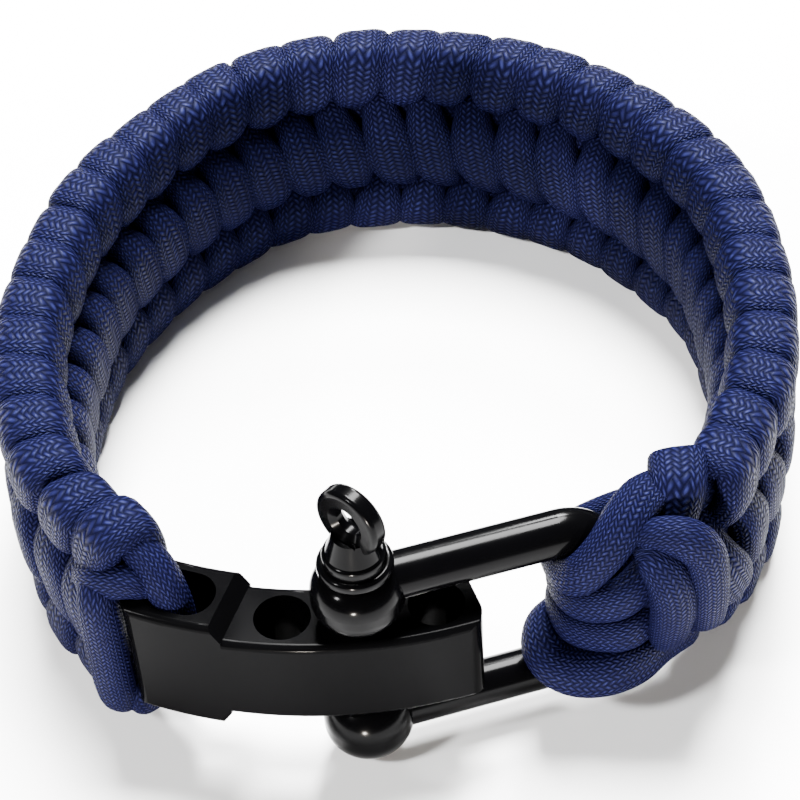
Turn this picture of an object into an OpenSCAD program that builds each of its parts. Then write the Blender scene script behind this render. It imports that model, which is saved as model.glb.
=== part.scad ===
/* [Band] */
// Width of the woven band, which is its height as it lies
band_w = 24; // [20:0.5:30]
// Thickness of the woven band from crest to crest
band_t = 8; // [6:0.5:9]
// Width of the closed ring between its middle lines
loop_w = 64.7; // [60:0.1:80]
// Depth from the pin's axis to the middle line at the back
loop_d = 69.8; // [64:0.1:85]
// Length of one stitch along the band
stitch_pitch = 5.2; // [4.4:0.1:7]
// Depth of the grooves between the stitches
stitch_relief = 1; // [0.2:0.1:1.4]
// How far a stitch leans along the band on its way across, in stitches
stitch_slant = 0.9; // [0:0.1:1.5]

/* [Strands] */
// Width of a strand squeezed in the adjuster's eye
eye_strand_d = 2.8; // [2.6:0.1:3]
// Height of a strand squeezed between the legs of the bow
bow_strand_h = 2.9; // [2.4:0.1:2.9]
// Thickness of a strand round the bow's base
bow_strand_t = 3.6; // [2.8:0.1:4]
// Width of the strand that closes the band beside the adjuster
edge_strand_d = 3.4; // [2.8:0.1:3.6]
// Gap left between a strand and what it passes
strand_gap = 0.2; // [0.15:0.05:0.3]
// Gap left between a strand's end and the band it comes out of
seat_gap = 0.3; // [0.2:0.05:0.5]

/* [Adjuster] */
// Height of the bar with the three holes
bar_h = 9.1; // [7:0.1:10]
// Height of the head round the eye
head_h = 12.3; // [11:0.1:13]
// Diameter of each hole
hole_d = 4.7; // [4.6:0.1:5.4]
// Distance between the holes along the bar
hole_pitch = 6.3; // [6.2:0.1:8]
// Wall between a hole and the faces of the bar
bar_wall = 0.95; // [0.7:0.1:1.4]
// Wall round the eye at its ends
head_wall = 1.1; // [0.9:0.1:1.6]
// Width of the eye across the bar
eye_w = 4.5; // [4:0.1:4.8]
// Metal between the first hole and the head
bridge = 2; // [1.5:0.1:4]
// Length of the slope between the head and the bar
step_run = 1; // [0.6:0.1:2]
// Radius that the bar is bent to
bend_r = 37; // [30:1:60]
// Turn of the bar from the straight crosswise line, in degrees
bar_turn = 4; // [0:1:6]
// Rounding of the bar's long edges
edge_r = 0.6; // [0.3:0.1:1]
// Rounding of the bar's upright corners
corner_r = 2; // [0.8:0.1:2.4]

/* [Shackle] */
// Diameter of the bow's rod
rod_d = 4; // [3.4:0.1:4.4]
// Clear gap between the legs
leg_gap = 12.6; // [12.4:0.1:13]
// Distance from the pin's axis to the middle of the bow's base
bow_len = 20.5; // [19:0.5:26]
// Radius of the bow's corners at the middle of the rod
bow_bend_r = 3.6; // [3.5:0.1:4]
// Turn of the bow from the straight crosswise line, in degrees
bow_turn = 16; // [12:1:24]
// Diameter of the ears
ear_d = 7.7; // [7:0.1:7.7]
// Gap between the bar and each ear
ear_gap = 0.4; // [0.3:0.05:1]
// How far the upper ear goes above the middle of its leg
ear_top = 2; // [1.8:0.1:3]
// How far the domed lower ear goes below the middle of its leg
dome_h = 3.4; // [2.6:0.1:3.4]
// Rounding of the upper ear
ear_r = 2.3; // [0.6:0.1:2.4]
// Rounding of the lower ear
dome_r = 3; // [2:0.1:3.2]

/* [Pin] */
// Diameter of the pin's shank
pin_d = 4; // [3.4:0.1:4.2]
// Clearance of the shank in the ears, on each side
pin_play = 0.05; // [0.02:0.01:0.1]
// Diameter of the collar
collar_d = 6.2; // [5.6:0.1:7]
// Height of the collar
collar_h = 1.1; // [0.8:0.1:2]
// Gap between the collar and the ear under it
collar_gap = 0.1; // [0.05:0.05:0.3]
// Diameter of the ring on the collar
ring_d = 5.2; // [4.8:0.1:5.6]
// Height of the ring on the collar
ring_h = 1.1; // [0.8:0.1:2]
// Diameter of the neck where it leaves the ring, and at its top
neck_d = 4.8; // [4:0.1:5]
neck_top_d = 3.4; // [2.4:0.1:3.4]
// Diameter of the flat thumb eye
thumb_d = 6.1; // [5:0.1:7]
// Thickness of the thumb eye
thumb_t = 1.6; // [1.4:0.1:2.4]
// Height of the thumb eye's middle above the ring
thumb_rise = 3.4; // [3:0.1:5]
// Diameter of the hole through the thumb eye
thumb_hole_d = 2.5; // [2.2:0.1:3]
// Rounding of the collar's, the ring's and the thumb eye's edges
soft_r = 0.45; // [0.2:0.05:0.5]
// Turn of the thumb eye's plane from the crosswise line, in degrees
thumb_turn = -40; // [-90:5:90]
// How far the pin sits left of the ring's middle
pin_side = 3.4; // [0:0.1:8]

/* [Hidden] */

// Fineness of the round solids
FN = 48;
// Rings of the band to each stitch, steps across a face and round half a rim
RINGS_PER_STITCH = 5;
FACE_STEPS = 8;
RIM_STEPS = 4;
// Sides of a strand, and steps between two of its route's points
STRAND_SIDES = 8;
STRAND_STEPS = 3;
// Steps of the band's middle line between two rows of its plan
PLAN_STEPS = 10;

// The ring's box is centred on the origin, and its lower rim lies on z = 0
mid_z = band_w / 2;
front_reach = ear_d / 2;
pin_y = -(loop_d + band_t / 2 - front_reach) / 2;
pin_at = [-pin_side, pin_y];

// Middle line of the free part of the band, clockwise from the adjuster as seen from above.
// Columns: side as a share of half loop_w, depth behind the pin as a share of loop_d.
PLAN = [
    [-0.820, 0.140],
    [-0.935, 0.245],
    [-1.000, 0.460],
    [-0.870, 0.725],
    [-0.470, 0.950],
    [0.060, 1.005],
    [0.565, 0.915],
    [0.905, 0.725],
    [1.000, 0.500],
    [0.965, 0.320],
    [0.880, 0.215]
];

function unit(v) = v / norm(v);
function turned(p, a) = [p.x * cos(a) - p.y * sin(a), p.x * sin(a) + p.y * cos(a)];
function flat(lists) = [for (l = lists) for (v = l) v];

// Point on a Catmull-Rom curve between b and c, at share t
function curve_point(a, b, c, d, t) =
    0.5 * (2 * b + (c - a) * t + (2 * a - 5 * b + 4 * c - d) * t * t
        + (3 * b - a - 3 * c + d) * t * t * t);
function smooth(p, steps) = let (n = len(p) - 1) concat(
    [for (i = [0:n - 1]) for (j = [0:steps - 1]) curve_point(
        i == 0 ? 2 * p[0] - p[1] : p[i - 1], p[i], p[i + 1],
        i == n - 1 ? 2 * p[n] - p[n - 1] : p[i + 2], j / steps)],
    [p[n]]);

// Places along the bent bar of the adjuster, s to the right of the pin
bar_t = hole_d + 2 * bar_wall;
eye_len = 2 * eye_strand_d + 3 * strand_gap;
head_len = eye_len + 2 * head_wall;
head_from = -(hole_pitch + hole_d / 2 + bridge + head_len);
head_to = head_from + head_len;
bar_to = hole_pitch + hole_d / 2 + bar_wall;
eye_s = (head_from + head_to) / 2;
function bar_angle(s) = s / bend_r * 180 / PI;
function bar_place(s) = [bend_r * sin(bar_angle(s)), bend_r * (1 - cos(bar_angle(s)))];
eye_turn = bar_turn + bar_angle(eye_s);
eye_at = pin_at + turned(bar_place(eye_s), bar_turn);

// The band starts beside and behind the head, and ends past the bow's base, square to it
from_head = 2.2;
behind_eye = 1.6;
from_base = 4.2;
end_lead = 3.5;
band_start = eye_at + turned([-head_len / 2 - from_head, behind_eye], eye_turn);
bow_at = pin_at + turned([bow_len, 0], bow_turn);
band_end = bow_at + turned([rod_d / 2 + from_base, 0], bow_turn);
band_end_lead = bow_at + turned([rod_d / 2 + from_base + end_lead, 0.1], bow_turn);

// Middle line of the whole band, and its length up to each point
line = smooth(concat([band_start],
    [for (r = PLAN) [r[0] * loop_w / 2, pin_y + r[1] * loop_d]],
    [band_end_lead, band_end]), PLAN_STEPS);
function run(p, i = 0, sum = 0, out = []) = i == len(p) ? out
    : let (s = sum + (i == 0 ? 0 : norm(p[i] - p[i - 1]))) run(p, i + 1, s, concat(out, [s]));
stations = run(line);
band_len = stations[len(stations) - 1];
x_table = [for (i = [0:len(line) - 1]) [stations[i], line[i].x]];
y_table = [for (i = [0:len(line) - 1]) [stations[i], line[i].y]];
function line_at(s) = [lookup(s, x_table), lookup(s, y_table)];
function line_dir(s) = unit(line_at(min(s + 1, band_len)) - line_at(max(s - 1, 0)));

stitches = round(band_len / stitch_pitch);
ring_count = stitches * RINGS_PER_STITCH + 1;

// Share of the full groove depth, none at a crest, for a phase counted in stitches
function groove(phase) = 1 - abs(sin(180 * phase));
// Half thickness of the band at height z off its middle
function face_half(z, phase) = let (
        column = band_w / 6,
        edge = abs(z) > column,
        lean = edge ? -abs(z) + column : z,
        seam = max(0, 1 - abs(abs(z) - column) / (band_w / 12)))
    band_t / 2 - stitch_relief * max(seam * 0.8, 0.8 * groove(phase + stitch_slant * lean / band_w));
function rim_half(phase) = band_t / 2 - stitch_relief * groove(phase);
// One section of the band in its own plane: [outward, up] from its middle
function section(phase) = let (flat_h = band_w / 2 - band_t / 2) concat(
    [for (k = [0:FACE_STEPS]) let (z = flat_h * (2 * k / FACE_STEPS - 1))
        [face_half(z, phase), z]],
    [for (k = [1:RIM_STEPS - 1]) let (a = 180 * k / RIM_STEPS, r = rim_half(phase))
        [r * cos(a), flat_h + r * sin(a)]],
    [for (k = [0:FACE_STEPS]) let (z = flat_h * (1 - 2 * k / FACE_STEPS))
        [-face_half(z, phase + 0.5), z]],
    [for (k = [1:RIM_STEPS - 1]) let (a = 180 + 180 * k / RIM_STEPS, r = rim_half(phase + 0.5))
        [r * cos(a), -flat_h + r * sin(a)]]);
function band_ring(i) = let (
        s = band_len * i / (ring_count - 1), p = line_at(s), d = line_dir(s))
    [for (q = section(i / RINGS_PER_STITCH)) [p.x - d.y * q[0], p.y + d.x * q[0], mid_z + q[1]]];

// A solid skin over equal closed rings of points, capped at both ends
module skin(rings) {
    n = len(rings);
    m = len(rings[0]);
    polyhedron(points = flat(rings), faces = concat(
        [[for (k = [0:m - 1]) k]],
        [for (i = [0:n - 2]) for (k = [0:m - 1])
            [i * m + k, (i + 1) * m + k, (i + 1) * m + (k + 1) % m, i * m + (k + 1) % m]],
        [[for (k = [m - 1:-1:0]) (n - 1) * m + k]]), convexity = 10);
}

// A strand along a route of [x, y, z, half width, half height] rows, its height nearest to up
module strand(route, up) {
    pts = smooth(route, STRAND_STEPS);
    last = len(pts) - 1;
    at = [for (p = pts) [p[0], p[1], p[2]]];
    skin([for (i = [0:last]) let (
            d = unit(at[min(i + 1, last)] - at[max(i - 1, 0)]),
            side = unit(cross(d, up)),
            rise = cross(side, d))
        [for (k = [0:STRAND_SIDES - 1]) let (a = 360 * k / STRAND_SIDES)
            at[i] + pts[i][3] * cos(a) * side + pts[i][4] * sin(a) * rise]]);
}

module woven_band() {
    color([0.06, 0.09, 0.25])
        skin([for (i = [0:ring_count - 1]) band_ring(i)]);
}

// Places past the band's two ends: side towards the wrist, z off the middle, gap from the end
start_dir = -line_dir(0);
end_dir = line_dir(band_len);
function at_start(side, z, gap) = let (p = band_start + gap * start_dir
    + side * [-start_dir.y, start_dir.x]) [p.x, p.y, mid_z + z];
function at_end(side, z, gap) = let (p = band_end + gap * end_dir
    + side * [end_dir.y, -end_dir.x]) [p.x, p.y, mid_z + z];
function by_eye(t, n, z) = let (p = eye_at + turned([t, n], eye_turn)) [p.x, p.y, mid_z + z];
function by_bow(u, v, z) = let (p = bow_at + turned([u, v], bow_turn)) [p.x, p.y, mid_z + z];

// Height of a strand's middle where it crosses over the head
over_head = head_h / 2 + eye_strand_d / 2 + strand_gap;
eye_half = eye_strand_d / 2;
eye_pitch = (eye_strand_d + strand_gap) / 2;
// Straight stretch of a strand before its end, square to the band's end
lead = 2;

// Places of the two strands on their way from the eye over the head to the band.
// Columns: along the bar from the strand's place in the eye, towards the wrist, above over_head.
INNER_OVER = [[-0.3, 0.6, -0.4], [-1.4, 1.8, 0.9], [-3.2, 2.7, 1]];
OUTER_OVER = [[-0.3, -0.4, -0.4], [-1.9, -1.3, 0.3]];
// How deep in the eye a strand begins to bend
eye_dip = 1.2;
// Sides that the strands keep at the band's end
inner_side = band_t / 4 + 0.4;
outer_side = -band_t / 4 - 0.2;
inner_rise = 0.5;

// A strand that comes out of the band above the head, drops through the eye and goes back in
// below, the same way up and down
module eye_strand(t, over, side, z) {
    up = concat(
        [by_eye(t, 0, 0), by_eye(t, 0, head_h / 2 - eye_dip)],
        [for (o = over) by_eye(t + o.x, o.y, over_head + o.z)],
        [at_start(side, z, seat_gap + lead), at_start(side, z, seat_gap)]);
    down = [for (i = [len(up) - 1:-1:1]) [up[i].x, up[i].y, 2 * mid_z - up[i].z]];
    color([0.07, 0.1, 0.28])
        strand([for (p = concat(down, up)) concat(p, [eye_half, eye_half])],
            concat(turned([0, 1], eye_turn), [0]));
}

module eye_strand_inner()
    eye_strand(eye_pitch, INNER_OVER, inner_side, over_head + inner_rise);
module eye_strand_outer() eye_strand(-eye_pitch, OUTER_OVER, outer_side, over_head);

// How far the upright strand beside the head stops short of a quarter of the band's width,
// how far it stands in front of the bar's face, and its side at the band's end
edge_set_in = 1.3;
edge_forward = 1;
edge_side = -band_t / 4 - 0.6;

module edge_strand() {
    r = edge_strand_d / 2;
    seat = [r * 0.7, r * 0.85];
    t = -head_len / 2 - strand_gap - r;
    n = r - bar_t / 2 - edge_forward;
    z = band_w / 4 - edge_set_in;
    color([0.07, 0.1, 0.28])
        strand([
            concat(at_start(edge_side, z, seat_gap), seat),
            concat(at_start(edge_side, z, seat_gap + lead / 2), seat),
            concat(by_eye(t, n, z - r), [r, r * 0.85]),
            concat(by_eye(t, n, r - z), [r, r * 0.85]),
            concat(at_start(edge_side, -z, seat_gap + lead / 2), seat),
            concat(at_start(edge_side, -z, seat_gap), seat)
        ], concat(turned([1, 0], eye_turn), [0]));
}

// Heights of the strands between the legs, and how far the outer ones spread past them
bow_row = (bow_strand_h + strand_gap) / 2;
outer_row = leg_gap / 2 - bow_strand_h / 2 - strand_gap;
fan = 1.8;
low_fan = 1;
rear_tuck = 0.4;
// Heights of the two middle strands at the band, and half heights of the strands there
mid_front_z = 2;
mid_rear_z = 1.9;
mid_half = 1.6;
outer_half = 1.9;
// Sides that the strands keep at the band's end, in front and at the rear
front_side = bow_strand_t / 2 - band_t / 2;
rear_side = band_t / 2 - bow_strand_t * 0.4;
// Directions round the base, in degrees, of a strand's places there
WRAP = [-65, -100, -140, -180, -220, -260, -295];

// A strand from the band's end round the bow's base and back. Its heights: front_z at the band,
// z_base in front of the base, z_mid between the legs and behind the base, rear_z at the band.
module bow_strand(front_z, z_base, z_mid, rear_z, seat_half) {
    w = bow_strand_t / 2;
    h = bow_strand_h / 2;
    r = rod_d / 2 + 1.5 * strand_gap + w;
    heights = [z_base, z_base * 0.7 + z_mid * 0.3, z_mid, z_mid, z_mid, z_mid, z_mid];
    color([0.07, 0.1, 0.28])
        strand(concat(
            [for (gap = [seat_gap, seat_gap + lead])
                concat(at_end(front_side, front_z, gap), [w, seat_half])],
            [for (i = [0:len(WRAP) - 1])
                concat(by_bow(r * cos(WRAP[i]), r * sin(WRAP[i]), heights[i]), [w, h])],
            [for (gap = [seat_gap + lead, seat_gap])
                concat(at_end(rear_side, rear_z, gap), [w * 0.8, seat_half])]
        ), [0, 0, 1]);
}

module bow_strand_top()
    bow_strand(band_w / 4 + fan, outer_row + fan, outer_row, band_w / 4 - rear_tuck, outer_half);
module bow_strand_upper() bow_strand(mid_front_z, bow_row, bow_row, mid_rear_z, mid_half);
module bow_strand_lower() bow_strand(-mid_front_z, -bow_row, -bow_row, -mid_rear_z, mid_half);
module bow_strand_bottom()
    bow_strand(-band_w / 4 - low_fan, -outer_row - fan, -outer_row, rear_tuck - band_w / 4,
        outer_half);

// A rectangle with round corners, as true arcs
module round_rect(w, h, r) {
    square([w - 2 * r, h], center = true);
    square([w, h - 2 * r], center = true);
    for (x = [-1, 1], y = [-1, 1])
        translate([x * (w / 2 - r), y * (h / 2 - r)])
            circle(r, $fn = FN);
}

// Half of the straight part left at each end of the eye
eye_flat = 0.1;

// A stretch of the bent bar, from s = a to s = b, with rounded long edges
module bent_bar(a, b, h) {
    translate([0, bend_r, 0])
        rotate([0, 0, bar_angle(a) - 90])
            rotate_extrude(angle = bar_angle(b - a), $fn = 4 * FN)
                translate([bend_r, 0])
                    round_rect(bar_t, h, edge_r);
}

// Moves its children to the place s along the bar
module along_bar(s) {
    translate(concat(bar_place(s), [0]))
        rotate([0, 0, bar_angle(s)])
            children();
}

// Cuts the upright corners at the bar's end round, dir is -1 at the left and 1 at the right
module corner_cuts(s, dir, h) {
    along_bar(s)
        for (y = [-1, 1])
            translate([-dir * corner_r, y * (bar_t / 2 - corner_r), -h])
                difference() {
                    translate([dir > 0 ? 0 : -2 * corner_r, y > 0 ? 0 : -2 * corner_r, 0])
                        cube([2 * corner_r, 2 * corner_r, 2 * h]);
                    translate([0, 0, -1])
                        cylinder(h = 2 * h + 2, r = corner_r, $fn = FN);
                }
}

module adjuster() {
    color([0.09, 0.09, 0.1])
        translate([pin_at.x, pin_at.y, mid_z])
            rotate([0, 0, bar_turn])
                difference() {
                    union() {
                        bent_bar(head_to - 1, bar_to, bar_h);
                        head();
                    }
                    along_bar(eye_s)
                        translate([0, 0, -head_h])
                            linear_extrude(2 * head_h)
                                round_rect(eye_len, eye_w, eye_w / 2 - eye_flat);
                    for (i = [-1:1])
                        along_bar(i * hole_pitch)
                            translate([0, 0, -bar_h])
                                cylinder(h = 2 * bar_h, d = hole_d, $fn = FN);
                    corner_cuts(bar_to, 1, bar_h);
                    corner_cuts(head_from, -1, head_h);
                }
}

// The taller end with the eye, sloped down to the bar
module head() {
    edge = head_len / 2;
    intersection() {
        bent_bar(head_from, head_to + step_run, head_h);
        along_bar(eye_s)
            translate([0, bar_t, 0])
                rotate([90, 0, 0])
                    linear_extrude(2 * bar_t)
                        polygon([
                            [-head_len, -head_h], [edge - step_run / 2, -head_h / 2],
                            [edge + step_run / 2, -bar_h / 2], [edge + step_run / 2, bar_h / 2],
                            [edge - step_run / 2, head_h / 2], [-head_len, head_h]
                        ]);
    }
}

// A round solid about the pin's axis, with rounded edges
module turned_disc(d, h, r) {
    rotate_extrude($fn = 2 * FN)
        intersection() {
            round_rect(d, h, r);
            translate([0, -h])
                square([d, 2 * h]);
        }
}

leg_z = leg_gap / 2 + rod_d / 2;
ear_from = bar_h / 2 + ear_gap;
bore_d = pin_d + 2 * pin_play;
// Metal left under the blind bore of the lower ear, and gap between its end and the pin's tip
dome_floor = 1.7;
tip_gap = 0.2;

// A leg, a corner and half of the base, on one side of the middle
module half_bow() {
    translate([0, 0, leg_z])
        rotate([0, 90, 0])
            cylinder(h = bow_len - bow_bend_r, d = rod_d, $fn = FN);
    translate([bow_len - bow_bend_r, 0, leg_z - bow_bend_r])
        rotate([90, 0, 0])
            rotate_extrude(angle = 90, $fn = 2 * FN)
                translate([bow_bend_r, 0])
                    circle(d = rod_d, $fn = FN);
    translate([bow_len, 0, 0])
        cylinder(h = leg_z - bow_bend_r, d = rod_d, $fn = FN);
}

// An ear about the pin's axis, from ear_from to its outer end
module ear(outer, r) {
    translate([0, 0, (ear_from + outer) / 2])
        turned_disc(ear_d, outer - ear_from, r);
}

module shackle_bow() {
    floor_z = leg_z + dome_h - dome_floor;
    color([0.08, 0.08, 0.09])
        translate([pin_at.x, pin_at.y, mid_z])
            rotate([0, 0, bow_turn])
                difference() {
                    union() {
                        half_bow();
                        mirror([0, 0, 1])
                            half_bow();
                        ear(leg_z + ear_top, ear_r);
                        mirror([0, 0, 1])
                            ear(leg_z + dome_h, dome_r);
                    }
                    translate([0, 0, -floor_z])
                        cylinder(h = floor_z + 2 * leg_z, d = bore_d, $fn = FN);
                }
}

collar_z = leg_z + ear_top + collar_gap;
ring_z = collar_z + collar_h;
neck_z = ring_z + ring_h;
thumb_z = neck_z + thumb_rise;
tip_z = dome_floor + tip_gap - leg_z - dome_h;
// How far the parts of the pin's head run into each other
overlap = 0.3;

// A thumb eye's bore, with the edges of its mouths cut at 45 degrees
module thumb_bore() {
    cylinder(h = 2 * thumb_t, d = thumb_hole_d, center = true, $fn = FN);
    for (side = [0, 180])
        rotate([side, 0, 0])
            translate([0, 0, thumb_t / 2 - soft_r])
                cylinder(h = 2 * soft_r, d1 = thumb_hole_d, d2 = thumb_hole_d + 4 * soft_r, $fn = FN);
}

module shackle_pin() {
    neck_h = thumb_rise - thumb_hole_d / 2 - overlap;
    color([0.08, 0.08, 0.09])
        translate([pin_at.x, pin_at.y, mid_z])
            difference() {
                union() {
                    translate([0, 0, tip_z])
                        cylinder(h = collar_z - tip_z + overlap, d = pin_d, $fn = FN);
                    translate([0, 0, collar_z + collar_h / 2])
                        turned_disc(collar_d, collar_h, soft_r);
                    translate([0, 0, ring_z + (ring_h - overlap) / 2])
                        turned_disc(ring_d, ring_h + overlap, soft_r);
                    translate([0, 0, neck_z - overlap])
                        cylinder(h = neck_h + overlap, d1 = neck_d, d2 = neck_top_d, $fn = FN);
                    translate([0, 0, thumb_z])
                        rotate([90, 0, thumb_turn])
                            turned_disc(thumb_d, thumb_t, soft_r);
                }
                translate([0, 0, thumb_z])
                    rotate([90, 0, thumb_turn])
                        thumb_bore();
            }
}

woven_band();
eye_strand_inner();
eye_strand_outer();
edge_strand();
bow_strand_top();
bow_strand_upper();
bow_strand_lower();
bow_strand_bottom();
adjuster();
shackle_bow();
shackle_pin();
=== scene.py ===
"""Looks of a woven cord bracelet with a metal adjuster and a small shackle.

The CAD frame stays as it is: the cords are made here round it, and the metal is dressed.
"""

import logging
import math
from dataclasses import dataclass, field
from enum import Enum
from typing import List, Sequence, Tuple

import bpy
import numpy as np
from mathutils import Matrix, Vector


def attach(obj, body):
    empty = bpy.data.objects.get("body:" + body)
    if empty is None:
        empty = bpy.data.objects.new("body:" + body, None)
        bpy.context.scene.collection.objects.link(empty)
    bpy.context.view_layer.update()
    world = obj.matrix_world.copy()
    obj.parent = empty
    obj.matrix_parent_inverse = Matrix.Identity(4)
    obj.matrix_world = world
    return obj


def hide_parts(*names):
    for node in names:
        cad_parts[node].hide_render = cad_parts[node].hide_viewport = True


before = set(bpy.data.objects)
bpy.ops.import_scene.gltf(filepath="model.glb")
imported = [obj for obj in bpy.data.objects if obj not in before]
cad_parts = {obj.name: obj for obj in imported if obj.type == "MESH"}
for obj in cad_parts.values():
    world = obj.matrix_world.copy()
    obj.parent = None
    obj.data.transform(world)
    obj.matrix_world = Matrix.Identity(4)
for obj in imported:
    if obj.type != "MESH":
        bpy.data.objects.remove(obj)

log = logging.getLogger("bracelet")

MM = 0.001
MM_IN_CM = 10.0
UP = np.array([0.0, 0.0, 1.0])
TIP_LENGTH = 0.8  # of a cord's smaller half size
TIP_FLAT = 0.0004  # square of the share at which a tip ends flat
YARNS_IN_CM = 21.0
YARNS_ROUND = 34.0
PLAIT_REPEAT = 4.0  # yarns
PLAIT_FLOAT = 2.0  # yarns that one yarn passes over
PLAIT_TOP = 1.5  # the counts below it, 0 and 1, lie on top
PLAIT_AHEAD = 4000.0  # keeps the scaled length positive
PLAIT_POWER = 0.8  # rounds a float's ends
MIX_A, MIX_B, MIX_OUT = 6, 7, 2  # colour sockets of a Mix node
WHITE = (1.0, 1.0, 1.0)

Pair = Tuple[float, float]
Point = Tuple[float, float, float]
Rgb = Tuple[float, float, float]
Rows = List[Sequence[float]]
Socket = bpy.types.NodeSocket


class Side(Enum):
    """The two ends of the band, whose cords are placed from the metal there."""

    EYE = "eye"
    BOW = "bow"


# ---------------------------------------------------------------- shapes


def unit(v: np.ndarray) -> np.ndarray:
    """Vectors of length one, along the last axis."""
    return v / np.linalg.norm(v, axis=-1, keepdims=True)


def smooth(points: np.ndarray, steps: int) -> np.ndarray:
    """Catmull-Rom curve through points.

    Between points b and c, with a before and d after, the place at share t is half of
    2b + (c - a)t + (2a - 5b + 4c - d)t^2 + (3b - a - 3c + d)t^3.

    Args:
        points: rows of numbers, one row for each point.
        steps: places to each stretch between two points.

    Returns:
        The rows of the curve, the last point included.
    """
    p = np.asarray(points, float)
    ext = np.vstack([2 * p[0] - p[1], p, 2 * p[-1] - p[-2]])
    a, b, c, d = (ext[i:len(ext) - 3 + i, None, :] for i in range(4))
    t = np.linspace(0, 1, steps, endpoint=False)[None, :, None]
    rows = 0.5 * (2 * b + (c - a) * t + (2 * a - 5 * b + 4 * c - d) * t ** 2
                  + (3 * b - a - 3 * c + d) * t ** 3)
    return np.vstack([rows.reshape(-1, p.shape[1]), p[-1:]])


def tube(name: str, at: np.ndarray, wide: np.ndarray, half_w: np.ndarray, half_t: np.ndarray,
         sides: int = 24, squareness: float = 2.4) -> bpy.types.Object:
    """A closed cord along a path, with a squeezed round section.

    A ring is the superellipse |x / half_w|^n + |y / half_t|^n = 1, x along the wide direction
    made square to the path and y square to both. Both ends are closed by a domed tip: the
    last rings shrink with the root of one minus the square of their share of the dome.

    Args:
        name: the piece's name.
        at: places of the path, in millimetres.
        wide: direction of the section's width at each place.
        half_w: half width at each place.
        half_t: half thickness at each place.
        sides: corners of a ring.
        squareness: the power n.

    Returns:
        The new object, with the UV map "cord": length in centimetres and share of the way round.
    """
    step = np.linalg.norm(np.diff(at, axis=0), axis=1)
    run = np.concatenate([[0.0], np.cumsum(step)])
    along = unit(np.gradient(at, run, axis=0))
    x = unit(wide - (wide * along).sum(1, keepdims=True) * along)
    y = np.cross(along, x)
    dome = np.minimum(half_t, half_w) * TIP_LENGTH
    near = np.clip(np.minimum(run, run[-1] - run) / dome, 0.0, 1.0)
    close = np.sqrt(np.clip(1 - (1 - near) ** 2, TIP_FLAT, 1.0))
    turn = np.linspace(0, 2 * math.pi, sides, endpoint=False)
    co, si = np.cos(turn), np.sin(turn)
    u = np.sign(co) * np.abs(co) ** (2 / squareness)
    v = np.sign(si) * np.abs(si) ** (2 / squareness)
    ring = (x[:, None, :] * (half_w * close)[:, None, None] * u[None, :, None]
            + y[:, None, :] * (half_t * close)[:, None, None] * v[None, :, None])
    grid = at[:, None, :] + ring
    return skin(name, grid, run / MM_IN_CM)


def skin(name: str, grid: np.ndarray, length: np.ndarray) -> bpy.types.Object:
    """A mesh over rings of places: quads between rings, and a fan of the last ring at each end.

    Args:
        name: the piece's name.
        grid: places in millimetres, rings by corners by three.
        length: the U value of each ring.

    Returns:
        The new object, smooth shaded, in metres.
    """
    rings, sides, _ = grid.shape
    i, k = np.meshgrid(np.arange(rings - 1), np.arange(sides), indexing="ij")
    j = (k + 1) % sides
    quads = np.stack([i * sides + k, i * sides + j, (i + 1) * sides + j, (i + 1) * sides + k], -1)
    quads = quads.reshape(-1, 4)
    caps = [list(range(sides - 1, -1, -1)), list(range((rings - 1) * sides, rings * sides))]
    mesh = bpy.data.meshes.new(name)
    mesh.from_pydata(grid.reshape(-1, 3) * MM, [], quads.tolist() + caps)
    uv = mesh.uv_layers.new(name="cord")
    share = np.stack([k, k + 1, k + 1, k], -1).reshape(-1, 4) / sides
    place = length[np.stack([i, i, i + 1, i + 1], -1).reshape(-1, 4)]
    flat = np.stack([place, share], -1).reshape(-1, 2)
    ends = np.concatenate([np.stack([np.full(sides, length[e]), np.arange(sides) / sides], -1)
                           for e in (0, -1)])
    uv.data.foreach_set("uv", np.vstack([flat, ends]).astype(np.float32).ravel())
    mesh.polygons.foreach_set("use_smooth", np.ones(len(mesh.polygons), bool))
    mesh.update()
    piece = bpy.data.objects.new(name, mesh)
    bpy.context.scene.collection.objects.link(piece)
    return piece


# ---------------------------------------------------------------- shader groups


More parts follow.
